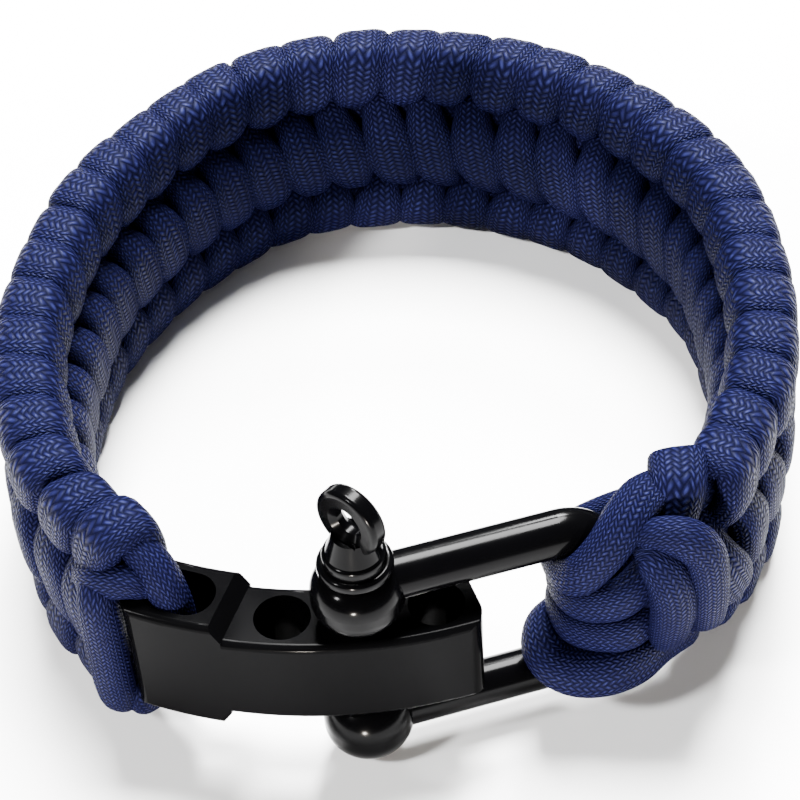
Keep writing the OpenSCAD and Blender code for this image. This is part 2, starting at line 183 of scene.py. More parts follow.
class Nodes:
    """Short hand for building a node tree in order. Values are sockets or plain values."""

    def __init__(self, tree: bpy.types.NodeTree) -> None:
        """Keeps the tree that the nodes go into."""
        self.tree = tree

    def link(self, value: object, socket: Socket) -> None:
        """Joins a socket to another, or sets a plain value on it.

        Args:
            value: the other socket, a plain value, or None to leave the socket as it is.
            socket: the socket that takes it.
        """
        if isinstance(value, Socket):
            self.tree.links.new(value, socket)
        elif value is not None:
            socket.default_value = value

    def math(self, kind: str, a: object, b: object = None) -> Socket:
        """A Math node of one or two values.

        Args:
            kind: the operation.
            a: the first value.
            b: the second value, where the operation has one.

        Returns:
            The result.
        """
        n = self.tree.nodes.new("ShaderNodeMath")
        n.operation = kind
        self.link(a, n.inputs[0])
        self.link(b, n.inputs[1])
        return n.outputs[0]

    def blend(self, share: Socket, a: object, b: object) -> Socket:
        """A mix of two colours by a share.

        Args:
            share: how far to go from the first to the second.
            a: the first colour, a socket or three numbers.
            b: the second colour, a socket or three numbers.

        Returns:
            The mixed colour.
        """
        n = self.tree.nodes.new("ShaderNodeMix")
        n.data_type = "RGBA"
        self.link(share, n.inputs["Factor"])
        for colour, place in ((a, MIX_A), (b, MIX_B)):
            self.link((*colour, 1) if isinstance(colour, tuple) else colour, n.inputs[place])
        return n.outputs[MIX_OUT]

    def spread(self, value: Socket, span: Pair, to: Pair = (0.0, 1.0)) -> Socket:
        """A value carried from one range to another, held at its ends.

        Args:
            value: the value.
            span: the low and the high end of its range.
            to: what they become.

        Returns:
            The new value.
        """
        n = self.tree.nodes.new("ShaderNodeMapRange")
        for v, place in zip((value, *span, *to), n.inputs):
            self.link(v, place)
        return n.outputs[0]

    def noise(self, where: Socket, scale: float, detail: float = 2.0) -> Socket:
        """A noise value at a place.

        Args:
            where: the place.
            scale: the noise's scale.
            detail: its finer octaves.

        Returns:
            The value.
        """
        n = self.tree.nodes.new("ShaderNodeTexNoise")
        self.link(where, n.inputs["Vector"])
        n.inputs["Scale"].default_value = scale
        n.inputs["Detail"].default_value = detail
        return n.outputs["Fac"]

    def bump(self, height: Socket, strength: float, depth: float) -> Socket:
        """A normal raised by a height.

        Args:
            height: the height, from 0 to 1.
            strength: the share of the effect.
            depth: what a height of 1 stands for, in metres.

        Returns:
            The normal.
        """
        n = self.tree.nodes.new("ShaderNodeBump")
        n.inputs["Strength"].default_value = strength
        n.inputs["Distance"].default_value = depth
        self.link(height, n.inputs["Height"])
        return n.outputs[0]

    def coords(self, kind: str) -> Socket:
        """One output of Texture Coordinate."""
        return self.tree.nodes.new("ShaderNodeTexCoord").outputs[kind]


def new_group(name: str, ins: Sequence[Tuple[str, str, object]], outs: Sequence[Tuple[str, str]]
              ) -> Tuple[bpy.types.NodeTree, Nodes, bpy.types.Node, bpy.types.Node]:
    """An empty shader group with named sockets.

    Args:
        name: the group's name.
        ins: name, socket type and value of each input.
        outs: name and socket type of each output.

    Returns:
        The group, its builder, its input node and its output node.
    """
    tree = bpy.data.node_groups.new(name, "ShaderNodeTree")
    for label, kind, value in ins:
        s = tree.interface.new_socket(name=label, in_out="INPUT", socket_type=kind)
        if value is not None:
            s.default_value = value
    for label, kind in outs:
        tree.interface.new_socket(name=label, in_out="OUTPUT", socket_type=kind)
    return tree, Nodes(tree), tree.nodes.new("NodeGroupInput"), tree.nodes.new("NodeGroupOutput")


def braid_group() -> bpy.types.NodeTree:
    """The sheath of a cord, plaited two over two.

    With p and m the sum and difference of the scaled length and way round, yarn i = floor(p)
    runs one way and yarn j = floor(m) the other. Yarn i lies on top where j - i, counted in
    fours, is 0 or 1, and yarn j elsewhere. The height is max(0, sin(pi x / 2))^0.8 sin(pi y).
    On yarn i, x is m - i in fours and y the fraction of p. On yarn j, x is p - j in fours,
    less 1, and y the fraction of m.

    Returns:
        The group, with outputs Height and Yarn.
    """
    tree, n, gi, go = new_group(
        "plaited_sheath",
        [("Cord", "NodeSocketVector", None), ("Along", "NodeSocketFloat", YARNS_IN_CM),
         ("Around", "NodeSocketFloat", YARNS_ROUND)],
        [("Height", "NodeSocketFloat"), ("Yarn", "NodeSocketFloat")])

    def left_over(value: Socket, less: Socket) -> Socket:
        """What is left of a difference after whole repeats of the plait."""
        return n.math("FLOORED_MODULO", n.math("SUBTRACT", value, less), PLAIT_REPEAT)

    def float_height(along: Socket, across: Socket) -> Socket:
        """Height of one float.

        Args:
            along: the place along it, in yarns.
            across: the place across it, in yarns.

        Returns:
            The height, from 0 to 1.
        """
        share = n.math("MULTIPLY", along, 1 / PLAIT_FLOAT)
        s = n.math("SINE", n.math("MULTIPLY", share, math.pi))
        w = n.math("SINE", n.math("MULTIPLY", n.math("FRACT", across), math.pi))
        return n.math("MULTIPLY", n.math("POWER", n.math("MAXIMUM", s, 0.0), PLAIT_POWER), w)

    cut = tree.nodes.new("ShaderNodeSeparateXYZ")
    n.link(gi.outputs["Cord"], cut.inputs[0])
    a = n.math("ADD", n.math("MULTIPLY", cut.outputs[0], gi.outputs["Along"]), PLAIT_AHEAD)
    r = n.math("MULTIPLY", cut.outputs[1], gi.outputs["Around"])
    p, m = n.math("ADD", a, r), n.math("SUBTRACT", a, r)
    i, j = n.math("FLOOR", p), n.math("FLOOR", m)
    top = n.math("LESS_THAN", left_over(j, i), PLAIT_TOP)
    one = float_height(left_over(m, i), p)
    two = float_height(n.math("SUBTRACT", left_over(p, j), 1.0), m)
    height = n.math("ADD", n.math("MULTIPLY", one, top),
                    n.math("MULTIPLY", two, n.math("SUBTRACT", 1.0, top)))
    both = tree.nodes.new("ShaderNodeCombineXYZ")
    n.link(i, both.inputs[0])
    n.link(j, both.inputs[1])
    yarn = tree.nodes.new("ShaderNodeTexWhiteNoise")
    yarn.noise_dimensions = "2D"
    n.link(both.outputs[0], yarn.inputs["Vector"])
    n.link(height, go.inputs["Height"])
    n.link(yarn.outputs["Value"], go.inputs["Yarn"])
    return tree


def use_group(n: Nodes, tree: bpy.types.NodeTree, **values: object) -> bpy.types.Node:
    """Places a group in a material.

    Args:
        n: the material's builder.
        tree: the group.
        **values: values for its inputs, by name.

    Returns:
        The group's node.
    """
    node = n.tree.nodes.new("ShaderNodeGroup")
    node.node_tree = tree
    for label, value in values.items():
        n.link(value, node.inputs[label])
    return node


def new_material(name: str) -> Tuple[bpy.types.Material, Nodes, bpy.types.Node]:
    """A new material.

    Args:
        name: its name.

    Returns:
        The material, its builder and its Principled shader.
    """
    mat = bpy.data.materials.new(name)
    mat.use_nodes = True
    return mat, Nodes(mat.node_tree), mat.node_tree.nodes["Principled BSDF"]


# ---------------------------------------------------------------- finishes


@dataclass(frozen=True)
class CordFinish:
    """Nylon sheath of the cord, with painted light in its base colour: painted shade darkens it
    in the hollows between the floats, and a painted glint lightens it on the floats' crests.

    The gloss fades out over the turn span, as the fine hairs hide it where the sheath turns
    away. The painted shade span and the crest span are ranges of the plait's height, the
    painted glint span is one of a yarn's own value plus the wear noise, and the rough span one
    of the height plus the wear noise.
    """

    name: str = "navy_cord"
    # Painted shade: the darkest colour, in the hollows between the floats.
    painted_groove_shade: Rgb = (0.0009, 0.0009, 0.0046)
    yarn: Rgb = (0.0026, 0.0027, 0.0132)
    # Painted highlight: the lightest colour, put on the floats' crests as a glint of light.
    painted_glint_colour: Rgb = (0.0079, 0.0093, 0.0375)
    cells_along: float = YARNS_IN_CM
    cells_around: float = YARNS_ROUND
    # Heights over which the painted shade gives way to the yarn colour, and over which the crest
    # takes the painted glint.
    painted_shade_span: Pair = (0.15, 0.75)
    crest_span: Pair = (0.6, 1.0)
    # The wear noise: it varies the roughness, and also spreads the painted glint over the yarns.
    wear_and_glint_scale: float = 420.0
    wear_and_glint_detail: float = 3.0
    # The next two set each yarn's share of the painted glint.
    painted_glint_span: Pair = (0.7, 1.5)
    painted_glint_share: Pair = (0.14, 1.0)
    rough_span: Pair = (0.3, 1.5)
    rough: Pair = (0.62, 0.36)
    relief: float = 0.0001  # metres
    relief_share: float = 0.9
    turn_span: Pair = (0.35, 0.8)
    gloss: Pair = (0.017, 0.004)
    glint: Rgb = (0.4, 0.5, 1.0)

    def material(self, braid: bpy.types.NodeTree) -> bpy.types.Material:
        """The material, with the plait on the cord's own UV map.

        Args:
            braid: the group of the plait.

        Returns:
            The material.
        """
        mat, n, bsdf = new_material(self.name)
        uv = n.tree.nodes.new("ShaderNodeUVMap")
        uv.uv_map = "cord"
        sheath = use_group(n, braid, Cord=uv.outputs[0], Along=self.cells_along,
                           Around=self.cells_around)
        height, yarn = sheath.outputs["Height"], sheath.outputs["Yarn"]
        # The wear noise varies the roughness, and also spreads the painted glint unevenly over the
        # yarns.
        wear_and_glint_noise = n.noise(n.coords("Object"), self.wear_and_glint_scale, self.wear_and_glint_detail)
        # Painted shade: the base colour goes from the yarn colour down to the darkest one where
        # the plait is low, between the floats.
        body = n.blend(n.spread(height, self.painted_shade_span), self.painted_groove_shade, self.yarn)
        # Painted highlight: each yarn's share of the painted glint, which the crests of its floats
        # then take.
        shine = n.spread(n.math("ADD", yarn, wear_and_glint_noise), self.painted_glint_span, self.painted_glint_share)
        painted_glint_mask = n.math("MULTIPLY", n.spread(height, self.crest_span), shine)
        facing = n.tree.nodes.new("ShaderNodeLayerWeight").outputs["Facing"]
        for value, label in (
                (n.blend(painted_glint_mask, body, self.painted_glint_colour), "Base Color"),
                (n.spread(n.math("ADD", height, wear_and_glint_noise), self.rough_span, self.rough), "Roughness"),
                (n.bump(height, self.relief_share, self.relief), "Normal"),
                (n.spread(facing, self.turn_span, self.gloss), "Specular IOR Level"),
                ((*self.glint, 1), "Specular Tint")):
            n.link(value, bsdf.inputs[label])
        return mat


@dataclass(frozen=True)
class MetalFinish:
    """Glossy black coat over metal, with a faint orange peel and fine rubbing marks.

    The marks come and go with a cloudy noise, whose ranges the spans give.
    """

    name: str
    coat: Rgb
    roughness: float
    grain: float
    shine: float
    cloud_scale: float = 260.0
    cloud_detail: float = 4.0
    rubbed: float = 1.15
    rubbed_span: Pair = (0.35, 0.7)
    rubbed_share: Pair = (0.0, 0.6)
    rough_span: Pair = (0.3, 0.7)
    rough_shares: Pair = (0.8, 1.3)
    peel_scale: float = 2600.0
    peel_depth: float = 0.00002  # metres

    def material(self) -> bpy.types.Material:
        """The material, on object coordinates.

        Returns:
            The material.
        """
        mat, n, bsdf = new_material(self.name)
        where = n.coords("Object")
        cloud = n.noise(where, self.cloud_scale, self.cloud_detail)
        marks = n.spread(cloud, self.rubbed_span, self.rubbed_share)
        lighter = tuple(c * self.rubbed for c in self.coat)
        rough = tuple(self.roughness * share for share in self.rough_shares)
        for value, label in (
                (n.blend(marks, self.coat, lighter), "Base Color"),
                (n.spread(cloud, self.rough_span, rough), "Roughness"),
                (n.bump(n.noise(where, self.peel_scale), self.grain, self.peel_depth), "Normal"),
                (self.shine, "Specular IOR Level")):
            n.link(value, bsdf.inputs[label])
        return mat


# ---------------------------------------------------------------- the bracelet's places


@dataclass
class Layout:
    """Sizes of the bracelet in millimetres, and the places that its pieces share.

    Turns are in degrees. The plan's columns are shares: sideways of half the loop's width,
    and back of its depth.
    """

    band_w: float = 24.0
    band_t: float = 8.0
    loop_w: float = 64.7
    loop_d: float = 69.8
    pitch: float = 5.2  # wanted length of a row
    pin_side: float = 3.4  # the pin, left of the loop's middle
    ear_d: float = 7.7
    head_len: float = 8.4
    eye_s: float = -14.85  # the eye along the bent bar, from the pin
    bend_r: float = 37.0
    bar_turn: float = 4.0
    rod_d: float = 4.0
    bow_len: float = 20.5
    bow_turn: float = 16.0
    from_head: float = 2.2  # the band's start, beyond the head
    behind_eye: float = 1.6  # the band's start, towards the wrist
    from_base: float = 4.2  # the band's end, beyond the bow's rod
    end_lead: float = 3.5  # the last bend, before the band's end
    lead_side: float = 0.1
    first_rim: float = -1.2  # row 0, from the band's start
    last_rim: float = 0.7  # the last row, before the band's end
    look: float = 1.2  # half the stretch that gives a direction
    line_steps: int = 40
    plan: Tuple[Pair, ...] = (
        (-0.820, 0.140), (-0.935, 0.245), (-1.000, 0.460), (-0.870, 0.725), (-0.470, 0.950),
        (0.060, 1.005), (0.565, 0.915), (0.905, 0.725), (1.000, 0.500), (0.965, 0.320),
        (0.880, 0.215))
    mid_z: float = field(init=False)
    pin: np.ndarray = field(init=False)
    eye: np.ndarray = field(init=False)
    eye_turn: float = field(init=False)
    bow: np.ndarray = field(init=False)
    line: np.ndarray = field(init=False)
    run: np.ndarray = field(init=False)
    length: float = field(init=False)
    rows: int = field(init=False)
    row: float = field(init=False)

    def __post_init__(self) -> None:
        """Lays the band's middle line from the adjuster round to the bow, clockwise from above."""
        self.mid_z = self.band_w / 2
        front = -(self.loop_d + self.band_t / 2 - self.ear_d / 2) / 2
        self.pin = np.array([-self.pin_side, front])
        angle = math.degrees(self.eye_s / self.bend_r)
        spot = (self.bend_r * math.sin(math.radians(angle)),
                self.bend_r * (1 - math.cos(math.radians(angle))))
        self.eye_turn = self.bar_turn + angle
        self.eye = self.pin + self.turned(spot, self.bar_turn)
        self.bow = self.pin + self.turned((self.bow_len, 0), self.bow_turn)
        half_eye = self.head_len / 2 + self.from_head
        start = self.eye + self.turned((-half_eye, self.behind_eye), self.eye_turn)
        reach = self.rod_d / 2 + self.from_base
        lead = self.bow + self.turned((reach + self.end_lead, self.lead_side), self.bow_turn)
        end = self.bow + self.turned((reach, 0), self.bow_turn)
        ring = [(s * self.loop_w / 2, self.pin[1] + d * self.loop_d) for s, d in self.plan]
        self.line = smooth(np.array([start, *ring, lead, end]), self.line_steps)
        step = np.linalg.norm(np.diff(self.line, axis=0), axis=1)
        self.run = np.concatenate([[0], np.cumsum(step)])
        self.length = float(self.run[-1])
        woven = self.length - self.first_rim - self.last_rim
        self.rows = round(woven / self.pitch)
        self.row = woven / self.rows

    @staticmethod
    def turned(p: Sequence[float], degrees: float) -> np.ndarray:
        """A flat vector turned anticlockwise."""
        c, s = math.cos(math.radians(degrees)), math.sin(math.radians(degrees))
        return np.array([p[0] * c - p[1] * s, p[0] * s + p[1] * c])

    def on_line(self, s: np.ndarray) -> np.ndarray:
        """Places of the middle line, of two columns, at lengths along it."""
        return np.stack([np.interp(s, self.run, self.line[:, c]) for c in (0, 1)], -1)

    def middle(self, s: np.ndarray) -> Tuple[np.ndarray, np.ndarray, np.ndarray]:
        """Place, direction and outward normal of the band's middle line.

        The direction is read between the places a look before and after. Past either end the
        line goes on straight.

        Args:
            s: lengths along the line, in millimetres.

        Returns:
            Places, unit directions and unit outward normals, each of three columns.
        """
        inside = np.clip(s, 0, self.length)
        ahead = self.on_line(np.clip(inside + self.look, None, self.length))
        behind = self.on_line(np.clip(inside - self.look, 0, None))
        d = unit(ahead - behind)
        xy = self.on_line(inside) + d * (s - inside)[:, None]
        zero = np.zeros(len(s))
        place = np.column_stack([xy, zero + self.mid_z])
        return place, np.column_stack([d, zero]), np.column_stack([-d[:, 1], d[:, 0], zero])

    def by_eye(self, t: float, n: float, z: float) -> np.ndarray:
        """A place from the adjuster's eye: along the bar, towards the wrist, and up."""
        return np.array([*(self.eye + self.turned((t, n), self.eye_turn)), self.mid_z + z])

    def by_bow(self, u: float, v: float, z: float) -> np.ndarray:
        """A place from the bow's base: away from the pin, towards the wrist, and up."""
        return np.array([*(self.bow + self.turned((u, v), self.bow_turn)), self.mid_z + z])


# ---------------------------------------------------------------- woven band


@dataclass(frozen=True)
class Sway:
    """Slow sines of a working cord's angle, which shake it a little.

    Their heights are in millimetres, and a beat is what the angle is multiplied by. The
    second sine along the band has a share of the first one's height, and the two cords
    differ by a step of phase.
    """

    along: float = 0.2
    along_beats: Pair = (0.83, 1.71)
    second: float = 0.7
    up: float = 0.1
    up_beat: float = 1.37
    out: float = 0.1
    out_beat: float = 0.59
    width: float = 0.08
    width_beat: float = 2.3
    phase: float = 2.0
    phase_step: float = 3.0


@dataclass
class WovenBand:
    """The weave: four core cords lengthwise, and two working cords that cross them row by row.

    Sizes are in millimetres, and the cords' widths and thicknesses are half ones. Slant, lead,
    tail and fade are in rows, and steps are places to a row. The docstrings of gather,
    half_width and path say where each size counts.
    """

    lay: Layout
    reach_z: float = 10.4  # the middle of a cord at a rim, from the band's middle
    reach_q: float = 2.6  # the middle of a cord over a core, outward or inward
    wide: float = 2.98
    wide_end: float = 2.1
    pinch: float = 1.75  # half width between two cores
    pinch_hold: float = 1.2
    thick: float = 1.45
    swell: float = 0.1  # half thickness gained in a pinch
    corner: float = -0.03
    narrow: float = 0.5
    lean_out: float = 0.7
    slant: float = 0.5
    eye_tuck: float = 1.1
    eye_lift: float = 0.6
    eye_foot: float = 2.5
    bow_tuck: float = 1.4
    bow_lift: float = 0.9
    foot_tuck: float = 2.4
    foot_lift: float = 3.6
    tuck_len: float = 5.0
    foot_len: float = 7.5
    foot_slim: float = 1.1
    loose: float = 0.45
    loose_len: float = 15.0
    lead: float = 0.3  # before row 0, and past the last row for the shorter cord
    tail: float = 0.75  # past the last row, for the longer cord
    fade: float = 0.4
    steps: int = 44
    squareness: float = 3.0
    sway: Sway = Sway()
    core_z: Tuple[Tuple[str, float], ...] = (("a", 7.9), ("b", 2.9), ("c", -2.9), ("d", -7.9))
    core_wide: float = 2.7
    core_thick: float = 1.2
    core_short: float = 1.0  # the cores' ends, inside the band's
    core_places: int = 150
    core_sides: int = 12

    def gather(self, rows: np.ndarray, cosine: np.ndarray) -> Tuple[np.ndarray, np.ndarray]:
        """Shift of a cord where the ends draw the band together.

        With u and d the positive parts of the cosine and of its opposite, the cord goes inward
        by eye_tuck cosine^2 E + bow_tuck u^2 B + foot_tuck d^2 F, and up by
        eye_lift (u^2 + eye_foot d) E + bow_lift u^2 B + foot_lift d F. E, B and F are each the
        exp of minus the square of a distance over a length: the distance to the eye over
        tuck_len, and that to the bow over tuck_len and over foot_len.

        Args:
            rows: places along the band, in rows.
            cosine: the cosine of the cord's angle there, 1 at the upper rim.

        Returns:
            How far inward and how far up, in millimetres.
        """
        from_eye, from_bow = rows * self.lay.row, (self.lay.rows - rows) * self.lay.row
        top, foot = np.clip(cosine, 0, None), np.clip(-cosine, 0, None)
        eye, bow = (np.exp(-(d / self.tuck_len) ** 2) for d in (from_eye, from_bow))
        low = np.exp(-(from_bow / self.foot_len) ** 2)
        inward = self.eye_tuck * cosine ** 2 * eye + self.bow_tuck * top ** 2 * bow
        rise = (self.eye_lift * (top ** 2 + self.eye_foot * foot) * eye
                + self.bow_lift * top ** 2 * bow)
        return inward + self.foot_tuck * foot ** 2 * low, rise + self.foot_lift * foot * low

    def half_width(self, a: np.ndarray, rows: np.ndarray, seed: float) -> np.ndarray:
        """Half width of a working cord where nothing pinches it.

        It is wide - loose L, turns into wide_end over fade rows past the last row, sways, and
        loses foot_slim d B, with d the positive part of -cos a. L and B are each the exp of
        minus the square of a distance over a length: the distance to the nearer end over
        loose_len, and that to the bow over tuck_len.

        Args:
            a: the cord's angle.
            rows: places along the band, in rows.
            seed: the phase of the sway.

        Returns:
            The half width at each place.
        """
        left = self.lay.rows - rows
        end = np.clip(-left / self.fade, 0, 1)
        far = np.minimum(rows, left) * self.lay.row
        wide = self.wide - self.loose * np.exp(-(far / self.loose_len) ** 2)
        wide = wide + (self.wide_end - wide) * end
        wide = wide + self.sway.width * np.sin(self.sway.width_beat * a + seed)
        foot = np.clip(-np.cos(a), 0, 1)
        return wide - self.foot_slim * foot * np.exp(-(left * self.lay.row / self.tuck_len) ** 2)

    def path(self, first: int, start: float, stop: float) -> Tuple[np.ndarray, ...]:
        """Course of a working cord over and under the cores.

        The angle a grows by half a turn for each row and is nought at the row where the cord
        first wraps the upper rim. Up the band the cord stands at
        reach_z cos a (1 - corner sin^2 3a). Outward it stands at
        reach_q (1 - narrow cos^2 a) f(sin 3a) + lean_out cos^2 a, with f(x) = 1.5 x - 0.5 x^3.
        Along the band it stands at first + a / pi - slant / (2 pi) sin 2a rows. It keeps the
        share 1 - (1 - sin^2 3a) min(1, pinch_hold sin^2 a) of what its half width has more
        than pinch, and its half thickness gains swell times the rest of that share. The ends
        gather it inward and up, and slow sines shake it a little.

        Args:
            first: the row where it first wraps the upper rim.
            start: the path's first row.
            stop: the path's last row.

        Returns:
            Places, wide directions, half widths and half thicknesses.
        """
        way = self.sway
        a = math.pi * (np.linspace(start, stop, int((stop - start) * self.steps) + 1) - first)
        seed = way.phase + way.phase_step * first
        shake = (np.sin(way.along_beats[0] * a + seed)
                 + way.second * np.sin(way.along_beats[1] * a + 2 * seed))
        rows = first + a / math.pi - self.slant / (2 * math.pi) * np.sin(2 * a)
        s = self.lay.first_rim + self.lay.row * rows + way.along * shake
        x3, rim = np.sin(3 * a), np.cos(a) ** 2
        z = (self.reach_z + way.up * np.sin(way.up_beat * a + seed)) * np.cos(a)
        z = z * (1 - self.corner * x3 ** 2)
        q = (self.reach_q + way.out * np.sin(way.out_beat * a + seed)) * (1 - self.narrow * rim)
        q = q * (1.5 * x3 - 0.5 * x3 ** 3) + self.lean_out * rim
        inward, rise = self.gather(rows, np.cos(a))
        at, d, normal = self.lay.middle(s)
        at = at + normal * (q - inward)[:, None] + UP * (z + rise)[:, None]
        full = 1 - (1 - x3 ** 2) * np.clip(self.pinch_hold * np.sin(a) ** 2, 0, 1)
        half_w = self.pinch + (self.half_width(a, rows, seed) - self.pinch) * full
        return at, d, half_w, self.thick + self.swell * (1 - full)

    def cores(self) -> List[bpy.types.Object]:
        """The four lengthwise cords in the band's middle plane, gathered like the working cords.

        Returns:
            The pieces.
        """
        s = np.linspace(self.core_short, self.lay.length - self.core_short, self.core_places)
        at, _, normal = self.lay.middle(s)
        same = np.ones(len(s))
        made = []
        for label, z in self.core_z:
            inward, rise = self.gather(s / self.lay.row, same * (z / self.core_z[0][1]))
            place = at - normal * inward[:, None] + UP * (z + rise)[:, None]
            made.append(tube("core_cord_" + label, place, UP * same[:, None],
                             same * self.core_wide, same * self.core_thick,
                             sides=self.core_sides))
        return made

    def build(self, cloth: bpy.types.Material) -> List[bpy.types.Object]:
        """Builds and dresses the weave, which stands for the solid band.

        Args:
            cloth: the cord's material.

        Returns:
            The pieces.
        """
        ends = (self.lay.rows + self.lead, self.lay.rows + self.tail)
        if self.lay.rows % 2:
            ends = ends[::-1]
        made = [tube("working_cord_" + label, *self.path(first, -self.lead, stop),
                     squareness=self.squareness)
                for first, (label, stop) in enumerate(zip(("one", "two"), ends))]
        return dress(made + self.cores(), cloth, "woven_band")


def dress(made: Sequence[bpy.types.Object], cloth: bpy.types.Material,
          node: str) -> List[bpy.types.Object]:
    """Gives pieces their material, hangs them on the root, and hides the CAD solid that they stand
    for.

    Args:
        made: the pieces.
        cloth: their material.
        node: the CAD node that they replace.

    Returns:
        The same pieces.
    """
    for piece in made:
        piece.data.materials.append(cloth)
        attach(piece, "root")
        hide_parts(node)
        log.info("%s: %d faces, for %s", piece.name, len(piece.data.polygons), node)
    return list(made)


def cord_along(name: str, rows: Rows, up: Sequence[float], tilt: Sequence[float],
               steps: int = 7, sides: int = 24) -> bpy.types.Object:
    """A cord on a smooth curve through rows of x, y, z, half width and half thickness.

    The width is square to the path and to up, and then turned about the path by the tilt.

    Args:
        name: the piece's name.
        rows: the curve's points and sizes, in millimetres.
        up: the direction that the section's thickness keeps to.
        tilt: degrees of turn at each row, none if empty.
        steps: places between two points.
        sides: corners of a ring.

    Returns:
        The new object.
    """
    r = smooth(np.array(rows, float), steps)
    at = r[:, :3]
    along = unit(np.gradient(at, axis=0))
    flat = unit(np.cross(along, np.asarray(up, float)))
    rise = np.cross(flat, along)
    turn = np.radians(smooth(np.array(tilt or [0.0] * len(rows))[:, None], steps))
    return tube(name, at, flat * np.cos(turn) + rise * np.sin(turn), r[:, 3], r[:, 4], sides)


# ---------------------------------------------------------------- cords tied to the metal


@dataclass
class EndCord:
    """A cord at one end of the band, by its places from the metal there.

    Columns of the places: along the bar or away from the pin, towards the wrist, up, half
    width and half thickness. The direction up has the first three of these columns.
    """

    name: str
    node: str
    side: Side
    up: Point
    places: Rows
    tilt: Tuple[float, ...] = ()

    def build(self, lay: Layout, cloth: bpy.types.Material) -> List[bpy.types.Object]:
        """Builds and dresses the cord.

        Args:
            lay: the places of the metal.
            cloth: the cord's material.

        Returns:
            The piece, in a list.
        """
        eye = self.side is Side.EYE
        spot, angle = (lay.by_eye, lay.eye_turn) if eye else (lay.by_bow, lay.bow_turn)
        rows = [[*spot(*r[:3]), *r[3:]] for r in self.places]
        up = [*lay.turned(self.up[:2], angle), self.up[2]]
        return dress([cord_along(self.name, rows, up, self.tilt)], cloth, self.node)


INNER_EYE_CORD = EndCord("eye_cord_inner", "eye_strand_inner", Side.EYE, (0, 1, 0), [
    [-8.0, 3.4, 8.6, 1.3, 1.3], [-5.4, 1.9, 9.3, 1.5, 1.4], [-3.4, 0.8, 9.4, 1.65, 1.5],
    [-1.9, 0.1, 8.4, 1.7, 1.55], [-0.8, -0.5, 7.0, 1.65, 1.55], [-0.1, -0.6, 4.8, 1.45, 1.4],
    [0.0, -0.4, 0.0, 1.4, 1.4], [0.0, 0.2, -4.8, 1.4, 1.4], [-0.6, 0.9, -7.0, 1.45, 1.3],
    [-2.4, 1.9, -8.0, 1.5, 1.3], [-5.2, 3.0, -8.0, 1.4, 1.3], [-8.0, 4.2, -7.8, 1.3, 1.3]])

OUTER_EYE_CORD = EndCord("eye_cord_outer", "eye_strand_outer", Side.EYE, (0, 1, 0), [
    [-8.0, 1.8, 5.0, 1.2, 1.2], [-7.6, -0.2, 6.2, 1.5, 1.5], [-6.4, -1.2, 7.1, 1.7, 1.6],
    [-4.8, -1.3, 7.6, 1.7, 1.55], [-3.1, -0.8, 7.2, 1.4, 1.4], [-2.2, 0.0, 5.4, 1.0, 1.1],
    [-2.1, 0.1, 0.0, 0.85, 1.0], [-2.2, 0.4, -5.2, 0.9, 1.1], [-3.2, 0.9, -7.2, 1.3, 1.2],
    [-5.0, 1.6, -7.7, 1.4, 1.3], [-8.0, 2.6, -7.2, 1.3, 1.3]])

EDGE_CORD = EndCord("edge_cord", "edge_strand", Side.EYE, (1, 0, 0), [
    [-6.7, 1.0, 6.8, 1.4, 1.4], [-6.5, -0.8, 6.9, 1.6, 1.5], [-6.2, -2.2, 5.8, 1.7, 1.6],
    [-6.1, -2.5, 2.6, 1.75, 1.7], [-6.1, -2.5, 0.0, 1.75, 1.7], [-6.1, -2.5, -3.0, 1.75, 1.7],
    [-6.1, -2.2, -6.2, 1.7, 1.6], [-6.5, -0.8, -8.2, 1.6, 1.5], [-7.2, 1.2, -8.4, 1.4, 1.4]])

TOP_BOW_CORD = EndCord("bow_cord_top", "bow_strand_top", Side.BOW, (0, 0, 1), [
    [9.5, 0.4, 9.0, 1.6, 1.2], [7.2, 0.4, 9.9, 1.7, 1.2], [5.2, 0.1, 10.6, 1.8, 1.15],
    [3.3, -0.8, 10.9, 1.9, 1.15], [1.3, -2.2, 10.2, 2.0, 1.15], [-0.7, -3.2, 8.5, 2.0, 1.1],
    [-2.5, -3.1, 6.4, 1.9, 1.05], [-3.5, -1.8, 5.0, 1.7, 1.05], [-3.75, 0.0, 4.6, 1.6, 1.05],
    [-3.5, 1.7, 4.5, 1.5, 1.05], [-2.4, 3.0, 4.7, 1.4, 1.1], [-0.6, 3.4, 5.0, 1.4, 1.1],
    [1.6, 3.4, 5.6, 1.4, 1.1], [3.8, 2.8, 6.5, 1.4, 1.2], [6.6, 1.8, 7.4, 1.4, 1.2],
    [9.5, 1.4, 7.8, 1.4, 1.2]],
    (0, 0, 0, 12, 40, 68, 85, 90, 90, 90, 90, 90, 90, 90, 90, 90))

UPPER_BOW_CORD = EndCord("bow_cord_upper", "bow_strand_upper", Side.BOW, (0, 0, 1), [
    [9.0, 0.0, 3.6, 1.2, 1.6], [5.6, -0.9, 3.6, 1.4, 1.9], [2.8, -3.0, 3.5, 1.4, 2.2],
    [0.6, -3.9, 3.0, 1.3, 2.1], [-1.6, -3.3, 2.3, 1.1, 1.8], [-2.9, -1.9, 1.8, 1.0, 1.5],
    [-3.3, 0.0, 1.6, 0.95, 1.45], [-2.9, 1.9, 1.6, 1.0, 1.45], [-1.4, 3.2, 1.7, 1.1, 1.5],
    [0.9, 3.6, 1.9, 1.2, 1.6], [4.2, 2.8, 2.2, 1.2, 1.6], [9.0, 1.6, 2.4, 1.2, 1.5]])

